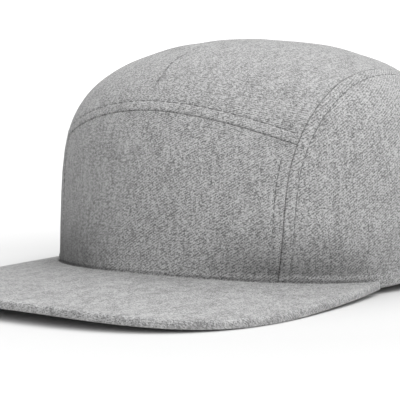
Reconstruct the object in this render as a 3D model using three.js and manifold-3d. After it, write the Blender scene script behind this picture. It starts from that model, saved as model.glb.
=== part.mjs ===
// A five panel cap with a flat visor, standing on its rim and on the sides of its visor.
// Millimetres, +Z up. The visor points along -Y, and +X is the wearer's left.
// A "turn" is an angle round the crown from the middle of its front, towards +X.
// A "climb" is an angle up the crown, from its rim at 0 to its top at a quarter turn.
import * as THREE from "three";
import { mergeVertices } from "three/addons/utils/BufferGeometryUtils.js";
import Module from "manifold-3d";

const degree = Math.PI / 180;
const quarterTurn = 90 * degree;

// Cloth and clearances
const clothThickness = 1.6;
const hemHeight = 7;
const hemThickness = 2.6;
const seamGap = 0.3;

// Crown, over the outside of the cloth
const rimHalfLength = 98.5;
const rimHalfWidth = 86.2;
const crownHeight = 108.7;
const topSetBack = 4.6;
const floorTurn = 120 * degree;

// The higher the plan power, the squarer the crown closes in towards its top.
// The higher the profile power, the longer its wall stays upright.
const crownForm = {
  front: { planPower: 1.99, profilePower: 5.22 },
  side: { planPower: 1.71, profilePower: 5.76 },
  back: { planPower: 2.28, profilePower: 4.98 },
};

// Seams between the panels
const stripHalfWidth = 62;
const stripTaper = 0.555;
const stripTaperPower = 6;
// The arched seams at the ends of the top panel, as shares of the crown's height:
// where they cross the middle, and how far they drop on their way to the side seams.
const seams = {
  front: { middleShare: 0.693, dropShare: 0.135 },
  back: { middleShare: 0.644, dropShare: 0.12 },
};

// Visor
const visorLength = 76.8;
const visorHalfWidth = 84.2;
const visorWidestAhead = 80.2;
const visorCornerPower = 3.05;
const visorReach = 69.9 * degree;
const visorThickness = 3.2;
const visorTipDrop = 2;
const visorSideDrop = 5.8;
const visorEdgeRound = 1.1;
const visorEndWidth = 1.2;

// Opening at the back, with the strap and the buckle that close it
const openingHalfWidth = 43;
const openingHeight = 40;
const strapWidth = 18;
const strapThickness = 1.5;
const strapOverlap = 10.5;
const buckleWidth = 30;
const buckleThickness = 1.8;
const buckleBar = 4;
const buckleRail = 3;
const buckleSlotPlay = 0.8;
const buckleFloorClearance = 0.4;
const strapEase = 1.2;

// How finely round forms are stepped
const turnSteps = 64;
const climbSteps = 20;
const visorFrontSteps = 18;
const visorSideSteps = 7;
const seamSteps = 24;
const archSteps = 28;
const strapSteps = 32;

// Room that a cutting block leaves beyond what it cuts
const cutMargin = 20;

const wasm = await Module();
wasm.setup();

const smooth = (share) => {
  const held = Math.min(1, Math.max(0, share));
  return held * held * (3 - 2 * held);
};

// A number of the crown's form at a turn, passing through its front, side and back values
function formAt(turn, column) {
  const { front, side, back } = crownForm;
  const middle = (front[column] + back[column]) / 2;
  const lengthwise = (front[column] - back[column]) / 2;
  const crosswise = (middle - side[column]) / 2;
  return side[column] + crosswise + lengthwise * Math.cos(turn) + crosswise * Math.cos(2 * turn);
}

// Rim and visor surface
const rimPlan = (turn, outset = 0) => new THREE.Vector2(
  (rimHalfWidth + outset) * Math.sin(turn),
  -(rimHalfLength + outset) * Math.cos(turn),
);

// How far the visor has dropped at a place, measured from the middle of its root
const visorFall = (x, y) =>
  visorTipDrop * (-y - rimHalfLength) / visorLength + visorSideDrop * (x / visorHalfWidth) ** 2;

// Half of the visor's outer edge, from the middle of its front back to the crown's side
function visorHalfEdge() {
  const corner = 2 / visorCornerPower;
  const forward = rimHalfLength + visorLength - visorWidestAhead;
  const end = rimPlan(visorReach, seamGap);
  end.x += visorEndWidth;
  const edge = [];
  for (let step = 0; step <= visorFrontSteps; step += 1) {
    const angle = quarterTurn * step / visorFrontSteps;
    edge.push(new THREE.Vector2(
      visorHalfWidth * Math.sin(angle) ** corner,
      -visorWidestAhead - forward * Math.max(0, Math.cos(angle)) ** corner,
    ));
  }
  for (let step = 1; step <= visorSideSteps; step += 1) {
    const share = step / visorSideSteps;
    edge.push(new THREE.Vector2(
      visorHalfWidth + (end.x - visorHalfWidth) * share ** 2,
      -visorWidestAhead + (end.y + visorWidestAhead) * share,
    ));
  }
  return edge;
}

const halfEdge = visorHalfEdge();
// The lowest places of the visor's underside stand on the floor
const visorRootHeight = visorThickness + Math.max(...halfEdge.map(({ x, y }) => visorFall(x, y)));
const visorTop = (x, y) => visorRootHeight - visorFall(x, y);

// Lower edge of the crown: level with the visor's underside, then down to the floor at the back
function rimHeight(turn) {
  const side = Math.abs(Math.atan2(Math.sin(turn), Math.cos(turn)));
  const { x, y } = rimPlan(Math.min(side, visorReach));
  const underVisor = visorTop(x, y) - visorThickness;
  return underVisor * (1 - smooth((side - visorReach) / (floorTurn - visorReach)));
}

// A point of the crown's outer surface
function crownOutside(turn, climb) {
  const rise = Math.sin(climb);
  const closing = Math.max(0, 1 - rise ** formAt(turn, "profilePower")) ** (1 / formAt(turn, "planPower"));
  const rim = rimPlan(turn);
  const foot = rimHeight(turn);
  return new THREE.Vector3(
    rim.x * closing,
    rim.y * closing + topSetBack * rise,
    foot + (crownHeight - foot) * rise,
  );
}

// The same point carried inwards, square to the surface
function crownPoint(turn, climb, inset = 0) {
  const nudge = 0.002;
  const along = crownOutside(turn + nudge, climb).sub(crownOutside(turn - nudge, climb));
  const up = crownOutside(turn, climb + nudge).sub(crownOutside(turn, Math.max(0, climb - nudge)));
  const outward = along.cross(up).normalize();
  return crownOutside(turn, climb).addScaledVector(outward, -inset);
}

const climbTo = (turn, height) => {
  const foot = rimHeight(turn);
  return Math.asin((height - foot) / (crownHeight - foot));
};

// A closed body through loops of equally many points, with a point to close each end
function loft(loops, firstEnd, lastEnd) {
  const count = loops[0].length;
  const points = [...loops.flat(), firstEnd, lastEnd];
  const first = points.length - 2;
  const last = points.length - 1;
  const faces = [];
  for (let i = 0; i < count; i += 1) {
    const next = (i + 1) % count;
    for (let loop = 0; loop + 1 < loops.length; loop += 1) {
      const low = loop * count;
      const high = low + count;
      faces.push(low + i, low + next, high + next, low + i, high + next, high + i);
    }
    const final = (loops.length - 1) * count;
    faces.push(first, next, i, last, final + i, final + next);
  }
  const geometry = new THREE.BufferGeometry().setFromPoints(points);
  geometry.setIndex(facingOut(points, faces));
  return geometry;
}

// The faces as they are if they enclose a positive volume, and otherwise turned over
function facingOut(points, faces) {
  let volume = 0;
  for (let i = 0; i < faces.length; i += 3) {
    const [a, b, c] = [points[faces[i]], points[faces[i + 1]], points[faces[i + 2]]];
    volume += a.dot(b.clone().cross(c));
  }
  return volume > 0 ? faces : faces.reverse();
}

function solidOf(geometry) {
  const bare = geometry.clone();
  bare.deleteAttribute("normal");
  bare.deleteAttribute("uv");
  const shared = mergeVertices(bare);
  return new wasm.Manifold(new wasm.Mesh({
    numProp: 3,
    vertProperties: shared.attributes.position.array,
    triVerts: new Uint32Array(shared.index.array),
  }));
}

function geometryOf(solid) {
  const { vertProperties, triVerts } = solid.getMesh();
  const geometry = new THREE.BufferGeometry();
  geometry.setAttribute("position", new THREE.BufferAttribute(vertProperties, 3));
  geometry.setIndex(new THREE.BufferAttribute(triVerts, 1));
  geometry.computeVertexNormals();
  return geometry;
}

// Crown shell: cloth all over, with its lower edge folded inwards into a thicker hem
function crownShell() {
  const ring = (climb, inset) => Array.from({ length: turnSteps }, (_, step) => {
    const turn = 4 * quarterTurn * step / turnSteps;
    const point = crownPoint(turn, climb(turn), inset);
    if (climb(turn) === 0) point.z = rimHeight(turn);
    return point;
  });
  const hemClimb = (turn) => climbTo(turn, rimHeight(turn) + hemHeight);
  const climbs = [() => 0, hemClimb];
  for (let step = 2; step < climbSteps; step += 1) {
    climbs.push(() => quarterTurn * step / climbSteps);
  }
  const outside = climbs.map((climb) => ring(climb, 0)).reverse();
  const hem = [ring(climbs[0], hemThickness), ring(climbs[1], hemThickness)];
  const inside = climbs.slice(1).map((climb) => ring(climb, clothThickness));
  const top = new THREE.Vector3(0, topSetBack, crownHeight);
  const underTop = top.clone().setZ(crownHeight - clothThickness);
  return solidOf(loft([...outside, ...hem, ...inside], top, underTop));
}

// Block that holds the strip of front, top and back panels, seen from above
function stripBlock(outset) {
  const reach = rimHalfLength + topSetBack + cutMargin;
  const halfWidth = (y) => {
    const along = Math.min(1, Math.abs(y / rimHalfLength));
    return stripHalfWidth * (1 - stripTaper * along ** stripTaperPower) + outset;
  };
  const right = Array.from({ length: 2 * seamSteps + 1 }, (_, step) => {
    const y = reach * (step / seamSteps - 1);
    return new THREE.Vector2(halfWidth(y), y);
  });
  const left = right.map(({ x, y }) => new THREE.Vector2(-x, y)).reverse();
  const depth = crownHeight + 2 * cutMargin;
  const block = new THREE.ExtrudeGeometry(new THREE.Shape([...right, ...left]), {
    depth,
    bevelEnabled: false,
  });
  return solidOf(block.translate(0, 0, -cutMargin));
}

// Block with an outline seen from the front, reaching from the crown's middle to past its end
function endBlock(outline, end) {
  const depth = rimHalfLength + topSetBack + cutMargin;
  const block = new THREE.ExtrudeGeometry(new THREE.Shape(outline), {
    depth,
    bevelEnabled: false,
  });
  block.rotateX(quarterTurn);
  return solidOf(end === "back" ? block.translate(0, depth, 0) : block);
}

// Everything below the arched seam at one end of the strip
function belowSeam(end, outset) {
  const { middleShare, dropShare } = seams[end];
  const reach = rimHalfWidth + cutMargin;
  const arch = Array.from({ length: 2 * seamSteps + 1 }, (_, step) => {
    const x = reach * (1 - step / seamSteps);
    const share = middleShare - dropShare * (x / stripHalfWidth) ** 2;
    return new THREE.Vector2(x, crownHeight * share + outset);
  });
  const floor = -cutMargin;
  return endBlock([...arch, new THREE.Vector2(-reach, floor), new THREE.Vector2(reach, floor)], end);
}

// Half moon opening over the strap
function backOpening() {
  const arch = Array.from({ length: archSteps + 1 }, (_, step) => {
    const angle = 2 * quarterTurn * step / archSteps;
    return new THREE.Vector2(openingHalfWidth * Math.cos(angle), openingHeight * Math.sin(angle));
  });
  const floor = -cutMargin;
  const foot = [new THREE.Vector2(-openingHalfWidth, floor), new THREE.Vector2(openingHalfWidth, floor)];
  return endBlock([...arch, ...foot], "back");
}

function halfSpace(side) {
  const size = 2 * (rimHalfLength + crownHeight);
  return solidOf(new THREE.BoxGeometry(size, size, size).translate(side * size / 2, 0, 0));
}

function crownPanels() {
  const shell = crownShell();
  const strip = shell.intersect(stripBlock(-seamGap / 2));
  const sides = shell.subtract(stripBlock(seamGap / 2));
  const belowFront = belowSeam("front", -seamGap / 2);
  const belowBack = belowSeam("back", -seamGap / 2);
  return {
    front_panel: strip.intersect(belowFront),
    top_panel: strip
      .subtract(belowSeam("front", seamGap / 2))
      .subtract(belowSeam("back", seamGap / 2)),
    back_panel: strip.intersect(belowBack).subtract(backOpening()),
    side_panel_left: sides.intersect(halfSpace(1)),
    side_panel_right: sides.intersect(halfSpace(-1)),
  };
}

// Visor: a wrapped board with rounded edges, seated against the outside of the crown
function visorGeometry() {
  const mirrored = halfEdge.slice(1).map(({ x, y }) => new THREE.Vector2(-x, y)).reverse();
  const edge = [...mirrored, ...halfEdge];
  const rear = halfEdge.at(-1).y;
  const wide = rimHalfWidth + seamGap;
  const long = rimHalfLength + seamGap;
  // The root lies where a line from the edge to the middle of the visor's rear meets the crown
  const rootOf = ({ x, y }) => {
    const a = (x / wide) ** 2 + ((y - rear) / long) ** 2;
    const b = 2 * rear * (y - rear) / long ** 2;
    const c = (rear / long) ** 2 - 1;
    const share = (-b + Math.sqrt(b * b - 4 * a * c)) / (2 * a);
    return new THREE.Vector2(x * share, rear + (y - rear) * share);
  };
  const sections = edge.map((outer) => {
    const root = rootOf(outer);
    const width = root.distanceTo(outer);
    const round = Math.min(visorEdgeRound, 0.4 * width);
    const top = [0, 0.33, 0.67, 1 - round / width].map((across) => ({ across, down: 0 }));
    const rim = [{ across: 1, down: visorEdgeRound }, { across: 1, down: visorThickness - visorEdgeRound }];
    const under = top.map(({ across }) => ({ across, down: visorThickness })).reverse();
    return [...top, ...rim, ...under].map(({ across, down }) => {
      const place = root.clone().lerp(outer, across);
      return new THREE.Vector3(place.x, place.y, visorTop(place.x, place.y) - down);
    });
  });
  const middleOf = (loop) => loop
    .reduce((sum, point) => sum.add(point), new THREE.Vector3())
    .divideScalar(loop.length);
  return loft(sections, middleOf(sections[0]), middleOf(sections.at(-1)));
}

// Strap and buckle: the strap passes behind the buckle's side bars and over its middle bar
const strapInset = hemThickness + seamGap;
const strapFoot = buckleFloorClearance + buckleRail + buckleSlotPlay;
const strapTop = strapFoot + strapWidth;
const strapMiddle = strapFoot + strapWidth / 2;
const sideBarInside = buckleWidth / 2 - buckleBar;
const strapSinkAtSideBar = rimHalfLength * (1 - Math.sqrt(1 - (sideBarInside / rimHalfWidth) ** 2));
const strapHump = buckleThickness + strapThickness + 2 * seamGap - strapSinkAtSideBar;

function strapGeometry() {
  const endTurn = Math.asin((openingHalfWidth + strapOverlap) / rimHalfWidth);
  // The strap lies level a little past the middle bar, and again a little before the side bars
  const level = buckleBar / 2 + strapEase;
  const overBar = (x) => 1 - smooth((Math.abs(x) - level) / (sideBarInside - strapEase - level));
  const section = (step) => {
    const turn = 2 * quarterTurn + endTurn * (1 - 2 * step / strapSteps);
    const inset = strapInset - strapHump * overBar(rimPlan(turn).x);
    const corner = (height, depth) => crownPoint(turn, climbTo(turn, height), inset + depth);
    return [
      corner(strapFoot, 0),
      corner(strapTop, 0),
      corner(strapTop, strapThickness),
      corner(strapFoot, strapThickness),
    ];
  };
  const sections = Array.from({ length: strapSteps + 1 }, (_, step) => section(step));
  const middleOf = ([a, , c]) => a.clone().lerp(c, 0.5);
  return loft(sections, middleOf(sections[0]), middleOf(sections.at(-1)));
}

function buckleGeometry() {
  const slotHeight = strapWidth + 2 * buckleSlotPlay;
  const slotWidth = sideBarInside - buckleBar / 2;
  const plate = (width, height, thickness) => new THREE.BoxGeometry(width, thickness, height);
  const slot = plate(slotWidth, slotHeight, 2 * buckleThickness);
  const slots = [-1, 1].map((side) => {
    const middle = side * (buckleBar + slotWidth) / 2;
    return solidOf(slot.clone().translate(middle, 0, 0));
  });
  const frame = solidOf(plate(buckleWidth, slotHeight + 2 * buckleRail, buckleThickness));
  return geometryOf(slots.reduce((left, cut) => left.subtract(cut), frame));
}

// The buckle's place: just under the strap where the strap humps over the middle bar
function placeBuckle(buckle) {
  const back = 2 * quarterTurn;
  const depth = strapInset - strapHump + strapThickness + seamGap + buckleThickness / 2;
  buckle.position.copy(crownPoint(back, climbTo(back, strapMiddle), depth));
  buckle.rotation.x = -Math.atan2(topSetBack, crownHeight);
  return buckle;
}

function part(name, geometry, color, roughness, metalness = 0) {
  const mesh = new THREE.Mesh(geometry, new THREE.MeshStandardMaterial({ color, roughness, metalness }));
  mesh.name = name;
  return mesh;
}

const cap = new THREE.Group();
cap.name = "five_panel_cap";
for (const [name, solid] of Object.entries(crownPanels())) {
  cap.add(part(name, geometryOf(solid), 0x969696, 0.95));
}
cap.add(part("visor", visorGeometry(), 0xa8a8a8, 0.95));
cap.add(part("back_strap", strapGeometry(), 0x8c8c8c, 0.9));
cap.add(placeBuckle(part("strap_buckle", buckleGeometry(), 0x6e6e70, 0.4, 0.8)));

// The origin is on the floor, under the middle of the cap's length and width
const bounds = new THREE.Box3().setFromObject(cap, true);
const middle = bounds.getCenter(new THREE.Vector3());
cap.position.set(-middle.x, -middle.y, -bounds.min.z);

export default cap;
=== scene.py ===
# %% [markdown]
# # A five panel cap in heathered grey twill
#
# The cap stands on a pale floor, on the folded hem at its back and on the lowest edges of its flat
# visor. Its crown is five pieces of cloth sewn together. This lesson dresses a measured model of it:
# every piece of cloth is laid exactly over the solid that it stands for, and then gets the seams,
# stitches, hem and weave that a plain solid lacks.

# %% Load the measured model
import math
from contextlib import contextmanager

import bpy
import numpy as np
from mathutils import Matrix, Vector
from mathutils.kdtree import KDTree


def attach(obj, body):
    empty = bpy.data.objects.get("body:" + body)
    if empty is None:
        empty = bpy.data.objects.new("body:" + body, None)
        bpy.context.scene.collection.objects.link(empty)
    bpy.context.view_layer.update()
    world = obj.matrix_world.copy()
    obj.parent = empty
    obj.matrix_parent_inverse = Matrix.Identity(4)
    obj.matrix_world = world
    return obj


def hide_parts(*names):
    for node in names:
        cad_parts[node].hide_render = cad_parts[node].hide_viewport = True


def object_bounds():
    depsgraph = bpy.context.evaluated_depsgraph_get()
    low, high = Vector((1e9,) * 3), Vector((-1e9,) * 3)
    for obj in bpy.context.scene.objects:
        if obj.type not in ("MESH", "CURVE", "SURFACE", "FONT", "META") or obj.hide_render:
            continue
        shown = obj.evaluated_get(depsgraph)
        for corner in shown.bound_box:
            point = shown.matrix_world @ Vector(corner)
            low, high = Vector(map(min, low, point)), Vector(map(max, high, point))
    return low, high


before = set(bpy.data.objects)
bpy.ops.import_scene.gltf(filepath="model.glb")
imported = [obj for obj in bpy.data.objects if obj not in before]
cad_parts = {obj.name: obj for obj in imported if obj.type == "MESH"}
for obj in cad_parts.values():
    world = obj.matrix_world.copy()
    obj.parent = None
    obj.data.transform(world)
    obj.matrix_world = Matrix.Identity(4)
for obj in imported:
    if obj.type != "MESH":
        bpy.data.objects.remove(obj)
cad_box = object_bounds()
MM = 0.001
quarter_turn = math.pi / 2
print("measured model", [list(corner) for corner in cad_box])

# %% [markdown]
# The camera comes first, because everything after it is judged through it. It stands in front of the
# cap and to its left, a little above the floor, close enough for the near corner of the visor to
# spread. A long lens from this distance keeps the crown's sides nearly parallel.

# %% Camera
crown_height = cad_box[1][2]
rim_half_length = 98.5 * MM
rim_half_width = 86.2 * MM
visor_length = 76.8 * MM
# The middle of the rim's oval, found from the front of the visor
crown_y = cad_box[0][1] + visor_length + rim_half_length

camera_turn = math.radians(33.01)
camera_rise = math.radians(4.2)
camera_roll = math.radians(0.6)
camera_distance = 600 * MM
camera_aim_right = -25.82 * MM
camera_aim_height = 33.25 * MM
camera_reach = 20
focal_pixels = 1277.8
picture_pixels = 400
sensor_width = 36


def way_from_cap(turn, rise):
    """The way from the cap to what stands at a turn to its left and a rise over the floor."""
    return Vector((math.sin(turn) * math.cos(rise), -math.cos(turn) * math.cos(rise), math.sin(rise)))


def add_object(name, data):
    added = bpy.data.objects.new(name, data)
    bpy.context.collection.objects.link(added)
    return added


backward = way_from_cap(camera_turn, camera_rise)
rightward = Vector((math.cos(camera_turn), math.sin(camera_turn), 0))
aim = Vector((0, crown_y, camera_aim_height)) + rightward * camera_aim_right
camera_data = bpy.data.cameras.new("studio_camera")
camera_data.sensor_width = sensor_width
camera_data.lens = focal_pixels / picture_pixels * sensor_width
camera_data.clip_end = camera_reach
camera = add_object("studio_camera", camera_data)
axes = Matrix((rightward, backward.cross(rightward), backward)).transposed()
camera.matrix_world = (
    Matrix.Translation(aim + backward * camera_distance)
    @ axes.to_4x4()
    @ Matrix.Rotation(camera_roll, 4, "Z")
)
bpy.context.scene.camera = camera
print("lens", round(camera_data.lens, 1), "mm")

# %% [markdown]
# ## The crown as a surface
#
# A cap's crown is smooth, so one formula can give every point of it. A "turn" goes round the crown
# from the middle of its front, and a "climb" goes up from the rim to the top. The oval of the rim
# shrinks as it climbs, slowly at first and fast near the top, and that gives the boxy shoulders.

# %% Crown form
top_set_back = 4.6 * MM
# Powers of the form at its front, side and back
plan_powers = (1.99, 1.71, 2.28)
profile_powers = (5.22, 5.76, 4.98)


def smooth(share):
    held = np.clip(share, 0, 1)
    return held * held * (3 - 2 * held)


def form_at(turn, powers):
    """A power of the crown's form at a turn, through its front, side and back values."""
    front, side, back = powers
    crosswise = ((front + back) / 2 - side) / 2
    lengthwise = (front - back) / 2
    return side + crosswise + lengthwise * np.cos(turn) + crosswise * np.cos(2 * turn)


def closing_at(turn, rise):
    """How much of the rim's oval is left at a share of the crown's height."""
    full = 1 - np.clip(rise, 0, 1) ** form_at(turn, profile_powers)
    return np.maximum(full, 0) ** (1 / form_at(turn, plan_powers))


# %% [markdown]
# The front of the rim rests on the visor, and the back on the floor. So the visor's outline and its
# slight bow are needed before the rim's height is known.

# %% Visor outline
visor_half_width = 84.2 * MM
visor_widest_ahead = 80.2 * MM
visor_corner_power = 3.05
visor_reach = math.radians(69.9)
visor_end_turn = math.radians(68.7)
visor_end_width = 1.2 * MM
visor_thickness = 3.2 * MM
visor_tip_drop = 2.0 * MM
visor_side_drop = 5.8 * MM
seat_gap = 0.3 * MM


def visor_fall(x, y):
    """How far the visor has dropped from the middle of its root, with y counted from the crown."""
    forward = (-y - rim_half_length) / visor_length
    return visor_tip_drop * forward + visor_side_drop * (x / visor_half_width) ** 2


def visor_half_edge(steps=120):
    """The visor's outer edge from the middle of its front back to the crown's side."""
    angle = np.linspace(0, quarter_turn, steps)
    corner = 2 / visor_corner_power
    forward = rim_half_length + visor_length - visor_widest_ahead
    front = np.stack([
        visor_half_width * np.sin(angle) ** corner,
        -visor_widest_ahead - forward * np.maximum(np.cos(angle), 0) ** corner,
    ], -1)
    end_x = (rim_half_width + seat_gap) * math.sin(visor_end_turn) + visor_end_width
    end_y = -(rim_half_length + seat_gap) * math.cos(visor_end_turn)
    share = np.linspace(0, 1, steps // 2)[1:]
    side = np.stack([
        visor_half_width + (end_x - visor_half_width) * share ** 2,
        -visor_widest_ahead + (end_y + visor_widest_ahead) * share,
    ], -1)
    return np.concatenate([front, side])


half_edge = visor_half_edge()
visor_root_height = visor_thickness + visor_fall(half_edge[:, 0], half_edge[:, 1]).max()
print("visor root", round(visor_root_height / MM, 2), "mm above the floor")


def visor_top(x, y):
    return visor_root_height - visor_fall(x, y)


# %% [markdown]
# The rim isn't level: it follows the visor's underside in front, lifts a little beside the visor's
# ends, and comes down to the floor behind. Every height on the crown is counted from it, so its
# formula comes before the one for the crown's points.

# %% Rim and crown points
level_turn = math.radians(84)
floor_turn = math.radians(132)
side_lift = 1.1 * MM


def rim_height(turn):
    """The crown's lower edge: level with the visor's underside, then down to the floor at the back."""
    side = np.abs(np.arctan2(np.sin(turn), np.cos(turn)))
    held = np.minimum(side, visor_reach)
    under = visor_top(rim_half_width * np.sin(held), -rim_half_length * np.cos(held)) - visor_thickness
    lift = side_lift * smooth((side - visor_reach) / (level_turn - visor_reach))
    return (under + lift) * (1 - smooth((side - level_turn) / (floor_turn - level_turn)))


def crown_point(turn, climb, inset=0.0):
    """A point of the crown's outer surface, or of a copy that is smaller all round by an inset."""
    rise = np.sin(climb)
    closing = closing_at(turn, rise)
    foot = rim_height(turn)
    return np.stack([
        (rim_half_width - inset) * np.sin(turn) * closing,
        crown_y - (rim_half_length - inset) * np.cos(turn) * closing + top_set_back * rise,
        foot + (crown_height - inset - foot) * rise,
    ], -1)


def rim_at(turns):
    return crown_point(turns, 0 * turns)


# %% [markdown]
# Two questions come up again and again: is this point inside the crown, and which way does the
# surface face here? One measure answers both. It is negative inside the crown and positive outside,
# and the surface faces the way in which it grows fastest.

# %% Measures on the crown
hollow_middle = np.array([0, crown_y + top_set_back / 2, 0.35 * crown_height])


def halved(low, high, is_short, rounds=40):
    """Halves the span from low to high again and again, round the place where is_short ends."""
    for _ in range(rounds):
        middle = (low + high) / 2
        short = is_short(middle)
        low, high = np.where(short, middle, low), np.where(short, high, middle)
    return middle


def outside_by(point):
    """Negative inside the crown and positive outside it."""
    x, y, z = point[..., 0], point[..., 1] - crown_y, point[..., 2]
    foot = 0.0
    for _ in range(3):
        rise = np.clip((z - foot) / (crown_height - foot), -0.2, 1.2)
        ahead = -(y - top_set_back * rise) / rim_half_length
        turn = np.arctan2(x / rim_half_width, ahead)
        foot = rim_height(turn)
    return np.hypot(x / rim_half_width, ahead) - closing_at(turn, rise)


def settle(point):
    """The place on the crown's surface on a line from the hollow's middle through a point."""
    arm = point - hollow_middle
    near, far = np.full(arm.shape[:-1], 0.6), 1.6
    share = halved(near, far, lambda share: outside_by(hollow_middle + arm * share[..., None]) < 0)
    return hollow_middle + arm * share[..., None]


def unit(vectors):
    return vectors / np.linalg.norm(vectors, axis=-1, keepdims=True)


def facing(point, nudge=0.4 * MM):
    """The outward direction of the crown at points near its surface."""
    slopes = [outside_by(point + nudge * step) - outside_by(point - nudge * step) for step in np.eye(3)]
    return unit(np.stack(slopes, -1))


# %% [markdown]
# ## Lines on the crown
#
# The top panel is one strip that runs from the front seam over the top to the back seam, and the
# front and back panels continue it down to the rim. So all three share one family of lines from rim
# to rim. The line at the strip's very edge is the side seam.

# %% Lines from rim to rim
strip_half_width = 62 * MM
strip_taper = 0.555
strip_taper_power = 6
# Sewn cloth spreads a little at the front of the rim, where the visor holds it open
seam_spread = math.radians(1.4)
seam_spread_rise = 0.55
# Where each arched seam crosses the middle, and how far it drops beside, in shares of the height
seam_shares = {"front": (0.693, 0.135), "back": (0.644, 0.12)}


def strip_width_at(y):
    from_middle = np.minimum(1, np.abs((y - crown_y) / rim_half_length))
    return strip_half_width * (1 - strip_taper * from_middle ** strip_taper_power)


def turn_reaching(x, rise, far):
    """The turn, between a far end and a quarter turn, at which the crown is x wide."""
    return halved(
        far, quarter_turn, lambda turn: rim_half_width * np.sin(turn) * closing_at(turn, rise) < x,
    )


def rim_to_rim(share, samples=1441):
    """Turns and climbs along the line at a share of the strip's half width, for a share of 0 to 1."""
    sweep = np.linspace(0, math.pi, samples)
    y = crown_y - rim_half_length * np.cos(sweep)
    for _ in range(8):
        x = share * strip_width_at(y)
        crest = (1 - (x / rim_half_width) ** plan_powers[1]) ** (1 / profile_powers[1])
        climb = np.arcsin(crest) * np.sin(sweep)
        turn = turn_reaching(x, np.sin(climb), np.where(sweep < quarter_turn, 0.0, math.pi))
        y = crown_point(turn, climb)[..., 1]
    spread = np.where(turn < quarter_turn, 1 - smooth(np.sin(climb) / seam_spread_rise), 0)
    return turn + seam_spread * share * spread, climb


def lengths_along(line):
    """The distance from the start of a line to each of its points."""
    return np.linalg.norm(np.diff(line, axis=0, prepend=line[:1]), axis=-1).cumsum()


def along(line, distances, values=None):
    """Points at given distances along a line, or other values that go with its points."""
    values = line if values is None else values
    reach = lengths_along(line)
    return np.stack([np.interp(distances, reach, column) for column in values.T], -1)


def even(line, step):
    """The same line with points about a step apart."""
    reach = lengths_along(line)[-1]
    return along(line, np.linspace(0, reach, max(2, int(reach / step) + 1)))


def seam_distance(line, end):
    """How far along a line from rim to rim it crosses the arched seam at one end."""
    middle, drop = seam_shares[end]
    above = line[:, 2] - crown_height * (middle - drop * (line[:, 0] / strip_half_width) ** 2)
    reach = lengths_along(line)
    k = np.argmax(above > 0) if end == "front" else len(above) - 1 - np.argmax(above[::-1] > 0)
    a, b = (k - 1, k) if end == "front" else (k, k + 1)
    share = above[a] / (above[a] - above[b])
    return reach[a] + share * (reach[b] - reach[a])


# %% [markdown]
# Cloth needs many points where it rolls into a seam and few in between. Each line across a panel
# therefore starts with closely spaced points at its edges, at fixed distances from the seam, and is
# filled evenly between them.

# %% Spacing
edge_places = np.array([
    0, 0.2, 0.5, 0.9, 1.4, 2.0, 2.6, 3.0, 3.35, 3.7, 4.1, 4.5, 5.0, 5.6, 6.3, 7.0, 7.6, 8.4,
]) * MM
fill_step = 1.35 * MM
# The lines lie close together again at the middle, where the top panel has its fold
fold_band = 3.3 * MM
fold_step = 0.22 * MM


def fill_count(length):
    return int((length - 2 * edge_places[-1]) / fill_step)


def spaced(length, count):
    """Places from 0 to a length: close together at both ends, and a count of even ones between."""
    fill = np.linspace(edge_places[-1], length - edge_places[-1], count + 2)[1:-1]
    return np.concatenate([edge_places, fill, length - edge_places[::-1]])


def half_strip_shares():
    """The shares of the strip's half width at which lines run, from its edge to its middle."""
    band_start = strip_half_width - fold_band
    half_fill = int((band_start - edge_places[-1]) / fill_step)
    fill = np.linspace(edge_places[-1], band_start, half_fill + 1)[1:]
    band = np.linspace(band_start, strip_half_width, int(fold_band / fold_step) + 1)[1:]
    return 1 - np.concatenate([edge_places, fill, band]) / strip_half_width


half_lines = [crown_point(*rim_to_rim(share)) for share in half_strip_shares()]
mirror = np.array([-1, 1, 1])
strip_lines = [line * mirror for line in half_lines] + half_lines[-2::-1]
side_turn, side_climb = rim_to_rim(1.0)
side_seam = half_lines[0]
print(len(strip_lines), "lines from rim to rim")


def strip_panel(starts, stops):
    """Rows of points between two seams of the strip, given by how far along each line they cross it."""
    count = fill_count((stops - starts)[len(starts) // 2])
    columns = [along(line, a + spaced(b - a, count)) for line, a, b in zip(strip_lines, starts, stops)]
    return np.stack(columns, 1)


at_front, at_back = (
    np.array([seam_distance(line, end) for line in strip_lines]) for end in ("front", "back")
)
front_rows = strip_panel(0 * at_front, at_front)
top_rows = strip_panel(at_front, at_back)
front_seam = front_rows[-1]
back_seam = top_rows[-1]
print("front panel", front_rows.shape, "top panel", top_rows.shape)

# %% [markdown]
# A side panel is a tall D. Its seam rises from the rim, bends back over the shoulder and comes down
# again. Four edges are easier to fill than three, so the seam is split where it slopes at half a
# right angle, and the panel is woven between its rim, its two risers and its crest.

# %% Side panel rows
# The crest bends most, so its lines are closer together than elsewhere
crest_fill = 1.25


def corner_index():
    """The first place on the side seam where it runs back as fast as it rises."""
    back, rise = np.gradient(side_seam[:, 1]), np.gradient(side_seam[:, 2])
    return int(np.argmax((back > rise) & (side_seam[:, 2] > 0.5 * crown_height)))


def side_cloth_places(turn, climb):
    """Where points of a side panel lie on its flat cloth: back along the rim, and up the wall."""
    wall = crown_point(turn[..., None], climb[..., None] * np.linspace(0, 1, 60))
    up = np.linalg.norm(np.diff(wall, axis=-2), axis=-1).sum(-1)
    rim = rim_at(np.linspace(0, math.pi, 400))
    across = np.interp(crown_point(turn, climb)[..., 1], rim[:, 1], lengths_along(rim))
    return np.stack([across, up], -1)


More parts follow.
